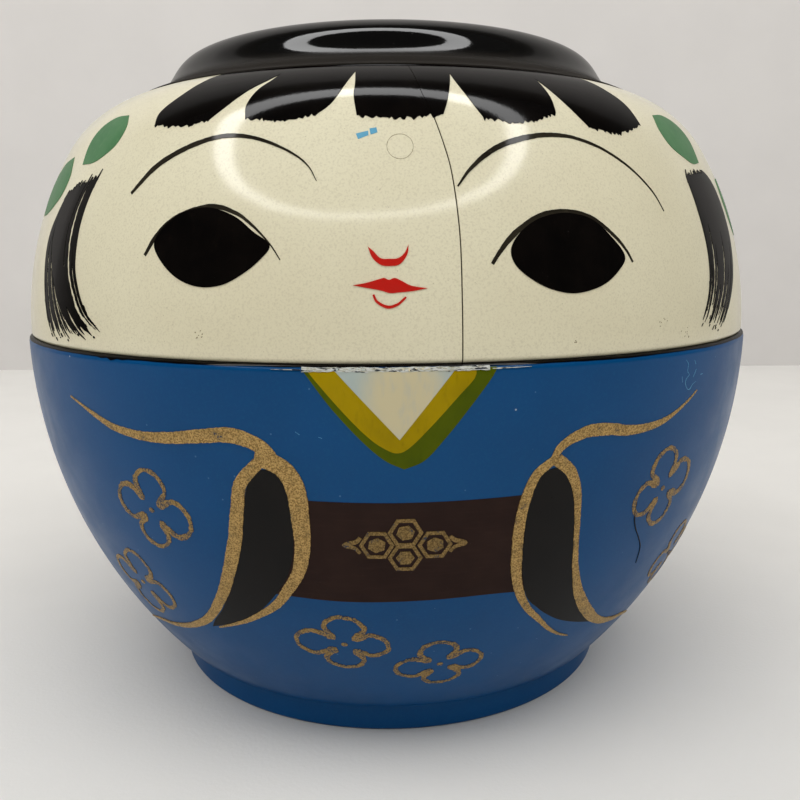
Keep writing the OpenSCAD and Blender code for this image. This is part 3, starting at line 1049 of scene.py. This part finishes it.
def brush_lock(left, right, streaks, seed, marks=18):
    """A lock laid on with a dry brush between two edge curves: a body, bristle marks past both of its ends,
    and streaks left bare, each as (share across at its start, at its end, start and end along, width)."""
    draw = random.Random(seed)
    steps = np.linspace(0, 1, 60)
    edges = []
    for points in (left, right):
        run = smooth(LID_SKIN, points, 0.5)
        place = np.linspace(0, 1, len(run))
        edges.append(np.stack([np.interp(steps, place, run[:, i]) for i in (0, 1)], 1))
    a, b = edges

    def path(share0, share1, u0, u1, count=9):
        u = np.linspace(u0, u1, count)
        share = np.linspace(share0, share1, count)[:, None]
        at_a = np.stack([np.interp(u, steps, a[:, i]) for i in (0, 1)], 1)
        at_b = np.stack([np.interp(u, steps, b[:, i]) for i in (0, 1)], 1)
        return at_a + (at_b - at_a) * share

    def span(u):
        ends = path(0, 0, u, u, 1)[0], path(1, 1, u, u, 1)[0]
        across = math.radians(ends[1][0] - ends[0][0]) * float(LID_SKIN.radius(ends[0][1]))
        return math.hypot(across, ends[1][1] - ends[0][1])

    bare = []
    for k, (share0, share1, u0, u1, width) in enumerate(streaks):
        sizes = [0.05, width * 1.2, width, width * 1.2, width * 1.4]
        bare.append(stroke(LID_SKIN, path(share0, share1, u0, u1), sizes, seed + 300 + k, 0.25))
    body = [(np.concatenate([a[3:50], b[3:50][::-1]]), bare)]
    for k in range(marks):
        share = (k + draw.uniform(0.25, 0.75)) / marks
        top = path(share, share, draw.uniform(0, 0.045), 0.1, 5)
        body.append((stroke(LID_SKIN, top, [0.1, span(0.1) / marks * 1.1], seed + k, 0.1, step=0.3), bare))
        tip = draw.uniform(0.88, 0.965)
        low = path(share, share + draw.uniform(-0.02, 0.02), 0.7, tip, 7)
        wide = span(0.85) / marks * draw.uniform(0.5, 1.15)
        body.append((stroke(LID_SKIN, low, [wide * 1.2, wide, wide * 0.8, 0.08], seed + 50 + k, 0.15,
                            step=0.3), bare))
        if draw.random() < 0.35:
            stray = path(share, share, tip + 0.008, tip + draw.uniform(0.018, 0.04), 3)
            body.append((stroke(LID_SKIN, stray, [0.08, wide * 0.4, 0.08], seed + 90 + k, 0.1, step=0.3),
                         []))
    return body


def sidelocks():
    left = brush_lock(
        [(-49.8, 30.0), (-51.6, 26), (-53.4, 21.7), (-53.8, 18), (-53.2, 13.8), (-52.2, 9.4), (-51, 5.5),
         (-49.8, 2.6), (-48, 0.6)],
        [(-41.0, 33.0), (-42.3, 28.5), (-43.0, 24), (-43.1, 20), (-42.7, 15.0), (-41.8, 12), (-40.4, 8.7),
         (-38.6, 6), (-36, 3.9), (-33, 2.0)],
        [(0.76, 0.89, 0.02, 0.97, 0.6), (0.08, 0.56, 0.15, 0.98, 0.25), (0.13, 0.15, 0.3, 1.0, 0.4),
         (0.26, 0.30, 0.42, 1.0, 0.4), (0.36, 0.40, 0.56, 1.0, 0.4), (0.66, 0.70, 0.02, 0.5, 0.2),
         (0.92, 0.96, 0.4, 1.0, 0.25), (0.62, 0.66, 0.72, 1.0, 0.35), (0.04, 0.04, 0.5, 0.97, 0.25),
         (0.48, 0.46, 0.8, 1.0, 0.35)], 60)
    right = brush_lock(
        [(47.6, 32.6), (47.0, 30.5), (47.3, 25), (47.7, 18), (47.4, 12.6), (46.4, 8.5), (44.9, 5.2),
         (43.6, 3.2)],
        [(54.5, 33.4), (58.0, 31.2), (59.5, 27.5), (59.9, 22), (59.3, 17.5), (57.6, 12.2), (55.2, 8),
         (52.6, 4.4), (50, 1.3)],
        [(0.17, 0.18, 0.36, 1.0, 0.5), (0.27, 0.24, 0.48, 1.0, 0.35), (0.54, 0.57, 0.40, 1.0, 0.5),
         (0.40, 0.40, 0.70, 1.0, 0.35), (0.72, 0.70, 0.58, 1.0, 0.4), (0.87, 0.86, 0.45, 1.0, 0.3),
         (0.07, 0.08, 0.6, 1.0, 0.3), (0.63, 0.64, 0.8, 1.0, 0.35)], 90)
    on_lid("sidelock_left", left, 2, "black_paint", grid=1.2)
    on_lid("sidelock_right", right, 2, "black_paint", grid=1.2)


def flecks():
    """Two small square chips of light blue paint on the brow."""
    chips = [[(-3.0, 36.6), (-1.5, 37.1), (-1.45, 36.3), (-2.7, 35.6)],
             [(-1.35, 37.5), (-0.5, 37.7), (-0.35, 36.8), (-1.2, 36.4)]]
    region = [(outline(LID_SKIN, *[(a, b) for a, b in zip(chip, chip[1:] + chip[:1])], step=0.3), [])
              for chip in chips]
    on_lid("blue_flecks", region, 1, "sky_paint", "pale_paint", 0.5)


def lid_marks():
    """Wear on the face: a faint ring on the brow, and clusters of dark specks low on the cheeks."""
    turn = np.linspace(0, 2 * math.pi, 24, endpoint=False)
    ring = np.stack([2.05 * np.cos(turn), 2.2 * np.sin(turn)], 1)
    region = [loop(LID_SKIN, local(LID_SKIN, (2.35, 34.3), ring), 0.07, 55, 0.5, 0.03)]
    draw = random.Random(56)
    for centre, spread, count in (((-20.9, 4.3), 0.6, 6), ((36.2, 4.9), 1.1, 6), ((40.3, 2.9), 0.9, 6),
                                  ((21.8, 3.2), 0.8, 3)):
        for _ in range(count):
            spot = (centre[0] + draw.uniform(-1, 1) * spread, centre[1] + draw.uniform(-1, 1) * spread)
            region.append((oval(LID_SKIN, spot, draw.uniform(0.1, 0.22), draw.uniform(0.07, 0.14), 40,
                                count=8), []))
    on_lid("lid_marks", region, 0.4, "dark_mark", "olive_paint", 0.6)


# ---------------------------------------------------------------- the painted kimono

def rim_line():
    """A black band along the bowl's rim: the black undercoat where the blue has worn off, and painted shade
    for the dark gap under the lid.
    """
    turn = np.arange(-180, 180.01, 0.5)
    lower = 0.38 + 0.09 * wander(turn, 1.0, 5, 40) + 0.04 * wander(turn, 1.0, 6, 7)
    lower += 0.45 * np.exp(-((turn + 34) / 2.4) ** 2) * (0.6 + 0.4 * np.sin(turn * 3.1))
    lower -= 0.12 * np.exp(-((turn - 1.5) / 14.0) ** 2)
    top = BOWL_SKIN.s[0] + 0.02
    run = np.concatenate([np.stack([turn, lower], 1), [(180, top)],
                          np.stack([turn[::-1], np.full(len(turn), top)], 1)[1:]])
    on_bowl("rim_line", [(run, [])], 2.4, "black_paint")


def painted_rim_highlight():
    """The pale strip on the rim above the neck: a painted highlight where the rounded rim catches the light.
    """
    turn = np.arange(-8.6, 11.9, 0.35)
    upper = 0.34 + 0.08 * wander(turn, 1.0, 51, 3)
    lower = 1.0 + 0.12 * wander(turn, 1.0, 52, 2.2)
    strip = np.concatenate([np.stack([turn, upper], 1), np.stack([turn, lower], 1)[::-1]])
    thin = [(stroke(BOWL_SKIN, [(-12, 0.75), (-10.5, 0.75), (-8.7, 0.75)], [0.03, 0.08, 0.15], 53, 0.3), []),
            (stroke(BOWL_SKIN, [(12, 0.8), (14, 0.78), (16.5, 0.75)], [0.2, 0.1, 0.03], 54, 0.3), [])]
    on_bowl("painted_rim_highlight", [(strip, []), *thin], 3.6, "rim_highlight_material", "pale_paint", 0.8)


def neckline():
    """The crossed collar: a pale triangle inside a yellow band inside an olive band."""
    top = 0.5
    pale = [(-5.2, top), (1.9, 11.8), (8.0, top)]
    yellow = [(-8.1, top), (-7.4, 1.9), (-4.1, 7.5), (-1.5, 11.4), (0.3, 13.3), (1.7, 14), (3.1, 13),
              (5.6, 9.3), (8.2, 5.1), (10.0, 2.2), (10.2, top)]
    olive_left = [(-8.6, top), (-8.0, 1.8), (-5.4, 6.9), (-2.2, 12.1), (0.2, 15.2), (2.4, 16.8)]
    olive_right = [(2.4, 16.8), (4.7, 15.3), (7.0, 11.6), (9.6, 6.8), (12.1, 1.9), (12.5, top)]
    corner = [(12.5, top), (-8.6, top)]
    on_bowl("neck_olive", [(outline(BOWL_SKIN, olive_left, olive_right, corner), [])], 1, "olive_paint")
    on_bowl("neck_yellow", [(outline(BOWL_SKIN, yellow, [yellow[-1], yellow[0]]), [])], 2, "yellow_paint")
    inner = outline(BOWL_SKIN, pale[:2], pale[1:], [pale[2], pale[0]])
    on_bowl("neck_pale", [(inner, [])], 3, "pale_paint")


def obi():
    top, low = 22.4, 43.2
    sash = outline(
        BOWL_SKIN, [(-12, top), (2, top + 0.3), (20, top)], [(20, top), (21, low)],
        [(21, low), (14, low - 0.5), (5, low - 0.2), (-5, low), (-15, low - 0.8)],
        [(-15, low - 0.8), (-12, top)])
    on_bowl("obi", [(sash, [])], 1, "maroon_paint")


def obi_crest():
    """Four flat-topped hexagon cells in a lozenge, each with a dot, and a tail on each side."""
    middle = (2.6, 30.8)
    region = []
    for k, (x, y) in enumerate([(0, -2.5), (0, 2.5), (-4.7, 0.1), (4.9, 0)]):
        turn = np.radians(np.arange(0, 360, 60))
        rings = []
        for half in (3.25, 2.45):
            cell = np.stack([x + 0.9 * half * np.cos(turn), y + 0.94 * half * np.sin(turn)], 1)
            corners = local(BOWL_SKIN, middle, np.concatenate([cell, cell[:1]]))
            rings.append(outline(BOWL_SKIN, *[corners[i:i + 2] for i in range(6)], step=0.4))
        region.append((rings[0], [rings[1]]))
        region.append((local(BOWL_SKIN, middle, np.stack(
            [x + 1.55 * np.cos(turn + 0.2 * k), y + 1.5 * np.sin(turn + 0.2 * k)], 1)), []))
    for side in (-1, 1):
        tail = local(BOWL_SKIN, middle,
                     [(side * 7.4, 1.6), (side * 8.1, 0.8), (side * 10.0, 0.1), (side * 8.3, -0.5),
                      (side * 7.4, -1.5)])
        region.append((stroke(BOWL_SKIN, tail, [0.6, 0.8, 0.8, 0.7, 0.6], 21, step=0.3), []))
    on_bowl("obi_crest", region, 3, "dim_gold", "gold_paint", 0.8)


def sleeve_openings():
    left = outline(
        BOWL_SKIN, [(-14.5, 17.4), (-12.3, 17.2)],
        [(-12.3, 17.2), (-11.2, 20.5), (-10.8, 25), (-11.0, 30), (-11.5, 34), (-12.6, 38), (-14.5, 42),
         (-17, 46), (-20, 49.8), (-23.5, 52.2), (-28.5, 55)],
        [(-28.5, 55), (-27, 52.3), (-24.3, 48.3), (-22.2, 43.3), (-20.2, 37.5), (-18.6, 32), (-17.2, 26),
         (-15.8, 20), (-14.5, 17.4)])
    right = outline(
        BOWL_SKIN, [(18.5, 18.5), (20.8, 18.0)],
        [(20.8, 18.0), (22.4, 20.5), (23.7, 24), (24.7, 29), (25.4, 34), (26.3, 39), (27.6, 43),
         (28.9, 46.5), (31.2, 51), (34, 54.5), (37, 58)],
        [(37, 58), (32, 55.8), (28, 53.5), (25, 51), (22.5, 48.3), (20, 44.8), (18.6, 40), (17.8, 35),
         (17.5, 30), (17.4, 25), (18, 20), (18.5, 18.5)])
    on_bowl("sleeve_openings", [(left, []), (right, [])], 2, "black_paint")


def gold(points, widths, seed):
    return stroke(BOWL_SKIN, points, widths, seed, 0.025, 0.04, 0.35), []


def sleeve_bands():
    """The gold edges of the two sleeves, each a pair of long strokes from the shoulder to the hem."""
    region = [gold([(-14.3, 16.2), (-16.7, 20), (-17.7, 25), (-18.8, 31), (-20.5, 37), (-22.5, 42.5),
                    (-25, 47.5), (-28, 52), (-31, 54.9), (-35, 57.5), (-40, 59.6), (-46, 61), (-52, 63.5)],
                   [2.0, 2.3, 2.5, 2.6, 2.4, 2.1, 1.8, 1.6, 1.2, 0.9, 0.5, 0.15], 31),
              gold([(-14.6, 15.2), (-12, 16.3), (-10.5, 18.5), (-9.9, 22), (-9.8, 27), (-10, 32), (-11, 37),
                    (-12.8, 41), (-15, 45), (-18, 48.2), (-21, 50.8), (-24, 52.8), (-27, 54.6)],
                   [2.6, 3.2, 3.3, 3.0, 2.6, 2.2, 1.9, 1.5, 1.1, 0.7, 0.3], 32),
              gold([(20.3, 16.3), (18, 19), (17, 23), (16.6, 28), (16.8, 33), (17.3, 38), (18.5, 43),
                    (20.5, 47.5), (23, 51), (26, 55), (29, 58), (32, 60)],
                   [1.4, 1.7, 1.9, 2.0, 2.0, 1.8, 1.5, 1.2, 0.9, 0.6, 0.2], 33),
              gold([(20.5, 16.6), (22.5, 19), (23.9, 23), (24.7, 28), (25.4, 33), (26.3, 38), (27.6, 42.5),
                    (29.2, 46.5), (31.5, 50.5), (34.5, 54.5), (37.5, 57.5), (41, 59.8), (45, 61.4),
                    (50, 62.7), (55, 65)],
                   [2.2, 1.9, 1.4, 1.1, 1.1, 1.4, 2.0, 2.4, 2.4, 2.0, 1.6, 1.2, 0.9, 0.5], 34)]
    on_bowl("sleeve_bands", region, 4, "gold_paint", grid=1.0)


def shoulder_lines():
    region = [gold([(-44, 8.5), (-41, 9.8), (-38, 11.3), (-35, 12.6), (-32, 13.2), (-29, 13.4), (-25, 13),
                    (-21, 12.2), (-17.5, 11.7), (-15, 12.5), (-13, 14.2), (-12, 16.5)],
                   [0.25, 0.4, 0.9, 1.2, 1.4, 1.7, 2.0, 2.2, 2.4, 2.6, 2.4, 1.6], 35),
              gold([(20.0, 16.6), (20.6, 14.8), (22, 13.3), (24.5, 12.2), (27.5, 12.3), (30.5, 13),
                    (34, 13), (37, 12.3), (39.5, 11), (42, 9.3), (43.5, 8)],
                   [1.2, 1.5, 2.0, 2.2, 2.0, 1.7, 1.4, 1.1, 0.65, 0.35, 0.15], 36)]
    on_bowl("shoulder_lines", region, 3, "gold_paint", grid=1.0)


FLOWERS = [((-31.3, 27.8), -12, 8.4, 8.4), ((-41.5, 48), -20, 8.7, 8.7), ((-6.2, 54.8), -3, 8.5, 7.6),
           ((8.7, 61.7), 10, 8.3, 7.3), ((40, 26.3), 15, 8.4, 8.4), ((54.5, 47), 12, 8.4, 8.4)]


def flowers():
    """Four-petalled flowers in outline, with a dot in the middle of each."""
    region = []
    for k, (centre, tilt, wide, high) in enumerate(FLOWERS):
        turn = np.linspace(0, 2 * math.pi, 40, endpoint=False)
        petal = np.abs(np.cos(2 * turn)) ** 0.5
        reach = 0.34 + 0.66 * petal
        draw = random.Random(70 + k)
        lobes = [draw.uniform(0.93, 1.05) for _ in range(4)]
        reach *= np.array([lobes[int((t + math.pi / 4) // (math.pi / 2)) % 4] for t in turn])
        points = np.stack([wide * reach * np.cos(turn), high * reach * np.sin(turn)], 1)
        region.append(loop(BOWL_SKIN, local(BOWL_SKIN, centre, points, tilt), 1.5 - 0.65 * petal, 80 + k,
                           0.2, 0.06))
        region.append((oval(BOWL_SKIN, centre, 0.6, 0.5), []))
    on_bowl("flowers", region, 2, "thin_gold", "gold_paint", 0.9)


def bowl_marks():
    """Wear on the kimono: a network of pale scratches, a few nicks, and one dark hairline."""
    scratches = [([(40.2, 2.0), (40.8, 2.9), (40.7, 4.1), (41.2, 4.8), (40.6, 5.5), (40.5, 6.3),
                   (41.1, 7.4), (41.7, 7.5), (42.2, 6.8), (43.0, 6.3)],
                  [0.06, 0.16, 0.1, 0.14, 0.16, 0.22, 0.1, 0.24, 0.12, 0.05]),
                 ([(42.2, 2.3), (42.6, 3.1)], [0.1, 0.2]),
                 ([(42.8, 4.0), (42.6, 4.6), (42.2, 5.4)], [0.12, 0.2, 0.05]),
                 ([(44.1, 5.2), (44.6, 5.15)], [0.25, 0.2]), ([(39.6, 4.9), (39.8, 6.0)], [0.05, 0.12]),
                 ([(-9.6, 10.6), (-9.1, 11.1)], [0.06, 0.14]), ([(-7.0, 11.4), (-6.6, 11.6)], [0.16, 0.16])]
    pale = [(stroke(BOWL_SKIN, points, [0.5 * w for w in widths], 57 + k, 0.2, 0.01, 0.3), [])
            for k, (points, widths) in enumerate(scratches)]
    hair = stroke(BOWL_SKIN,
                  [(34.8, 27.7), (35.1, 30.2), (36.2, 33.4), (38.8, 37.7), (39.7, 39.8), (40.4, 43.4)],
                  [0.06, 0.16, 0.2, 0.16, 0.14, 0.04], 65, 0.2)
    on_bowl("bowl_scratches", pale, 0.5, "sky_paint", "pale_paint", 0.5)
    on_bowl("bowl_hairline", [(hair, [])], 2.6, "black_paint", grid=0.8)


# ---------------------------------------------------------------- building the object

for build in (bowl_shell, bowl_lining, foot_ring, collar_ring, lid_shell, lid_lining, crown, fringe,
              brows, eyes, nose, lips, chin, leaves, sidelocks, flecks, lid_marks, rim_line, neckline,
              painted_rim_highlight, obi, obi_crest, sleeve_openings, sleeve_bands, shoulder_lines, flowers,
              bowl_marks):
    build()


# ---------------------------------------------------------------- floor, backdrop, light and camera

CAMERA_PLACE = (0.0028, -0.2062, 0.0973)
CAMERA_PITCH = 0.181
CAMERA_ROLL = -0.006
CAMERA_LENS = 36.9
WALL_Y = 0.476
RING_CENTRE = (-0.026, -0.290, 0.402)
RING_LEAN = (-0.044, 0.21, 1.0)   # the direction that its plane faces
RING_RADIUS = 0.260
RING_WIDTH = 0.036


def stage_material(name, colour, grain):
    paint = Paint(name, 0.85, 0.0, specular=0.2)
    fine = paint.noise(0.9, 3)
    paint.colour(paint.cloudy(60, colour, tuple(c * 0.97 for c in colour), 3))
    paint.bump((fine, grain))
    return paint.material


def stage_sheet(name, corners, material):
    mesh = bpy.data.meshes.new(name)
    mesh.from_pydata(corners, [], [tuple(range(len(corners)))])
    mesh.materials.append(material)
    sheet = bpy.data.objects.new(name, mesh)
    bpy.context.scene.collection.objects.link(sheet)


def floor_and_wall():
    wide = 4.0
    stage_sheet("floor", [(-wide, -wide, 0), (wide, -wide, 0), (wide, wide, 0), (-wide, wide, 0)],
                stage_material("pale_table", (0.78, 0.76, 0.72), 0.05))
    stage_sheet("backdrop",
                [(-wide, WALL_Y, -0.01), (wide, WALL_Y, -0.01), (wide, WALL_Y, 3), (-wide, WALL_Y, 3)],
                stage_material("pale_wall", (0.66, 0.635, 0.61), 0.01))


def area_light(name, place, target, size, power):
    light = bpy.data.lights.new(name, "AREA")
    light.shape = "RECTANGLE"
    light.size, light.size_y = size
    light.energy = power
    lamp = bpy.data.objects.new(name, light)
    lamp.location = place
    lamp.rotation_mode = "QUATERNION"
    lamp.rotation_quaternion = (Vector(target) - Vector(place)).to_track_quat("-Z", "Y")
    bpy.context.scene.collection.objects.link(lamp)
    lamp.visible_camera = False
    return lamp


def ring_light(strength):
    """A glowing ring above the camera that only reflections show, as on the forehead and the crown."""
    count = 96
    lean = Vector(RING_LEAN).to_track_quat("Z", "Y")
    verts = []
    for r in (RING_RADIUS - RING_WIDTH / 2, RING_RADIUS + RING_WIDTH / 2):
        for k in range(count):
            turn = 2 * math.pi * k / count
            spoke = lean @ Vector((r * math.cos(turn), r * math.sin(turn), 0))
            verts.append(tuple(Vector(RING_CENTRE) + spoke))
    faces = [(i, (i + 1) % count, count + (i + 1) % count, count + i) for i in range(count)]
    mesh = bpy.data.meshes.new("ring_light")
    mesh.from_pydata(verts, [], faces)
    material = bpy.data.materials.new("ring_glow")
    material.use_nodes = True
    tree = material.node_tree
    tree.nodes.clear()
    glow = tree.nodes.new("ShaderNodeEmission")
    glow.inputs["Strength"].default_value = strength
    out = tree.nodes.new("ShaderNodeOutputMaterial")
    tree.links.new(glow.outputs[0], out.inputs[0])
    mesh.materials.append(material)
    ring = bpy.data.objects.new("ring_light", mesh)
    bpy.context.scene.collection.objects.link(ring)
    ring.visible_camera = False
    ring.visible_diffuse = False


def world(colour, strength):
    made = bpy.data.worlds.new("studio")
    made.use_nodes = True
    background = made.node_tree.nodes["Background"]
    background.inputs["Color"].default_value = (*colour, 1)
    background.inputs["Strength"].default_value = strength
    bpy.context.scene.world = made


def camera():
    data = bpy.data.cameras.new("camera")
    data.lens = CAMERA_LENS
    data.sensor_width = 36
    data.clip_start = 0.01
    made = bpy.data.objects.new("camera", data)
    made.matrix_world = (Matrix.Translation(CAMERA_PLACE)
                         @ Matrix.Rotation(math.pi / 2 - CAMERA_PITCH, 4, "X")
                         @ Matrix.Rotation(CAMERA_ROLL, 4, "Z"))
    bpy.context.scene.collection.objects.link(made)
    bpy.context.scene.camera = made


floor_and_wall()
lamps = [area_light("overhead", (0, 0.0, 1.3), (0, 0.1, 0), (2.4, 2.4), 10.5),
         area_light("wall_wash", (-0.06, -0.35, 0.9), (-0.06, WALL_Y, 0.15), (1.8, 0.5), 8.3),
         area_light("front_fill", (-0.2, -1.0, 0.55), (0, 0, 0.05), (1.8, 1.0), 3.3),
         area_light("side_left", (-0.95, 0.15, 0.45), (0, 0, 0.1), (0.9, 0.8), 1.6),
         area_light("side_right", (0.95, 0.15, 0.45), (0, 0, 0.1), (0.9, 0.8), 1.3)]
for lamp in lamps:
    lamp.visible_glossy = False
ring_light(9)
world((0.94, 0.98, 1.0), 0.08)
camera()
bpy.context.scene.view_settings.view_transform = "Standard"
